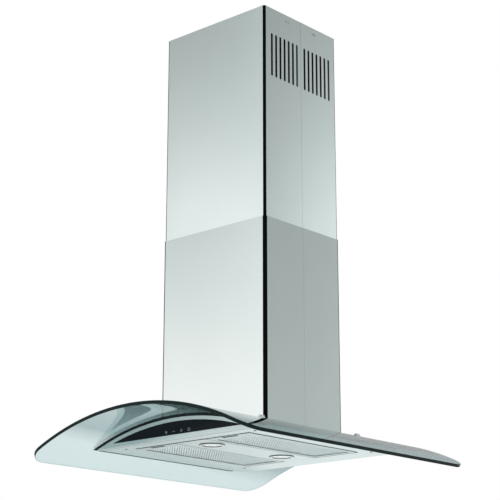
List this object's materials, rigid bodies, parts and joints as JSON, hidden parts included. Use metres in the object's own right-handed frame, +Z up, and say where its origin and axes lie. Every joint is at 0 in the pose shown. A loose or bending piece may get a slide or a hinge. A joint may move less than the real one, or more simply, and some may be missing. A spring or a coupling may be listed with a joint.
{
  "type": "island range hood",
  "caption": "Ceiling-hung range hood with an arched clear glass canopy, touch strip, round lamps, hinged grease filters and a telescopic steel chimney.",
  "frame": {"origin": "centre of the ceiling plate's upper face, which lies against the ceiling", "axes": "+Z up into the ceiling, +Y towards the rear, +X to the right along the front with the touch strip"},
  "size_m": [0.699, 0.81, 1.1037],
  "materials": {
    "cover_steel": "brushed, satin",
    "panel_steel": "brushed, satin",
    "zinc_steel": "galvanised, satin",
    "polished_steel": "polished",
    "spring_steel": "bright drawn wire",
    "canopy_glass": "clear, polished edges",
    "frosted_lens": "frosted",
    "seal_rubber": "matte",
    "fascia_silver": "satin",
    "touch_black": "gloss",
    "icon_white": "printed",
    "circuit_board": "satin",
    "filter_aluminium": "satin",
    "mesh_aluminium": "expanded mesh, satin",
    "latch_plastic": "satin",
    "dark_plastic": "fine grain",
    "fan_steel": "galvanised, satin",
    "motor_paint": "satin",
    "motor_iron": "rough"
  },
  "bodies": {
    "frame": {"glass_canopy": "canopy_glass", "glass_screws": "polished_steel", "glass_washers": "polished_steel", "glass_bushes": "seal_rubber", "glass_nuts": "zinc_steel", "glass_gasket": "seal_rubber", "fascia_frame": "fascia_silver", "touch_panel": "touch_black", "touch_icons": "icon_white", "touch_board": "circuit_board", "canopy_shell": "panel_steel", "underside_panel": "panel_steel", "panel_screws": "polished_steel", "lamp_bar": "panel_steel", "lamp_bar_rivets": "zinc_steel", "lamp_bezels": "polished_steel", "lamp_lenses": "frosted_lens", "lamp_housings": "dark_plastic", "lamp_boards": "circuit_board", "filter_brackets": "zinc_steel", "mounting_collar": "zinc_steel", "collar_bolts": "zinc_steel", "upper_posts": "zinc_steel", "lower_posts": "zinc_steel", "frame_brace": "zinc_steel", "frame_bolts": "zinc_steel", "frame_nuts": "zinc_steel", "ceiling_plate": "zinc_steel", "upper_cover_front": "cover_steel", "upper_cover_rear": "cover_steel", "blower_box": "zinc_steel", "scroll_left": "dark_plastic", "scroll_right": "dark_plastic", "motor_case": "motor_paint", "motor_bearings": "polished_steel", "motor_stator": "motor_iron", "motor_bracket": "zinc_steel", "outlet_spigot": "dark_plastic", "damper_rod": "polished_steel", "control_box": "zinc_steel", "cable_gland": "dark_plastic", "control_board": "circuit_board", "capacitor": "motor_paint"},
    "lower_cover": {"lower_cover_front": "cover_steel", "lower_cover_rear": "cover_steel"},
    "fan": {"fan_disc": "fan_steel", "fan_rings": "fan_steel", "fan_blades": "fan_steel", "motor_shaft": "polished_steel", "motor_rotor": "motor_iron"},
    "damper_front": {"damper_flap_front": "dark_plastic"},
    "damper_rear": {"damper_flap_rear": "dark_plastic"},
    "filter_left": {"filter_frame_left": "filter_aluminium", "filter_mesh_left": "mesh_aluminium", "filter_spring_left": "spring_steel"},
    "filter_right": {"filter_frame_right": "filter_aluminium", "filter_mesh_right": "mesh_aluminium", "filter_spring_right": "spring_steel"},
    "latch_left": {"filter_latch_left": "latch_plastic"},
    "latch_right": {"filter_latch_right": "latch_plastic"}
  },
  "joints": [
    {"name": "lower_cover_slide", "type": "slide", "parent": "frame", "child": "lower_cover", "axis": [0, 0, 1], "range_m": [0, 0.45]},
    {"name": "fan_spin", "type": "hinge", "parent": "frame", "child": "fan", "pos_m": [0, -0.024, -0.88607], "axis": [1, 0, 0], "continuous": true},
    {"name": "damper_front_hinge", "type": "hinge", "parent": "frame", "child": "damper_front", "pos_m": [0, 0.02, -0.70007], "axis": [-1, 0, 0], "range_deg": [0, 75]},
    {"name": "damper_rear_hinge", "type": "hinge", "parent": "frame", "child": "damper_rear", "pos_m": [0, 0.02, -0.70007], "axis": [1, 0, 0], "range_deg": [0, 75]},
    {"name": "filter_left_hinge", "type": "hinge", "parent": "frame", "child": "filter_left", "pos_m": [0, 0.181, -1.067], "axis": [1, 0, 0], "range_deg": [0, 80]},
    {"name": "filter_right_hinge", "type": "hinge", "parent": "frame", "child": "filter_right", "pos_m": [0, 0.181, -1.067], "axis": [1, 0, 0], "range_deg": [0, 80]},
    {"name": "filter_left_latch", "type": "slide", "parent": "filter_left", "child": "latch_left", "axis": [0, 1, 0], "range_m": [0, 0.004], "stiffness_N_per_m": 300, "springref_m": -0.005, "deforming": ["filter_spring_left"]},
    {"name": "filter_right_latch", "type": "slide", "parent": "filter_right", "child": "latch_right", "axis": [0, 1, 0], "range_m": [0, 0.004], "stiffness_N_per_m": 300, "springref_m": -0.005, "deforming": ["filter_spring_right"]}
  ]
}
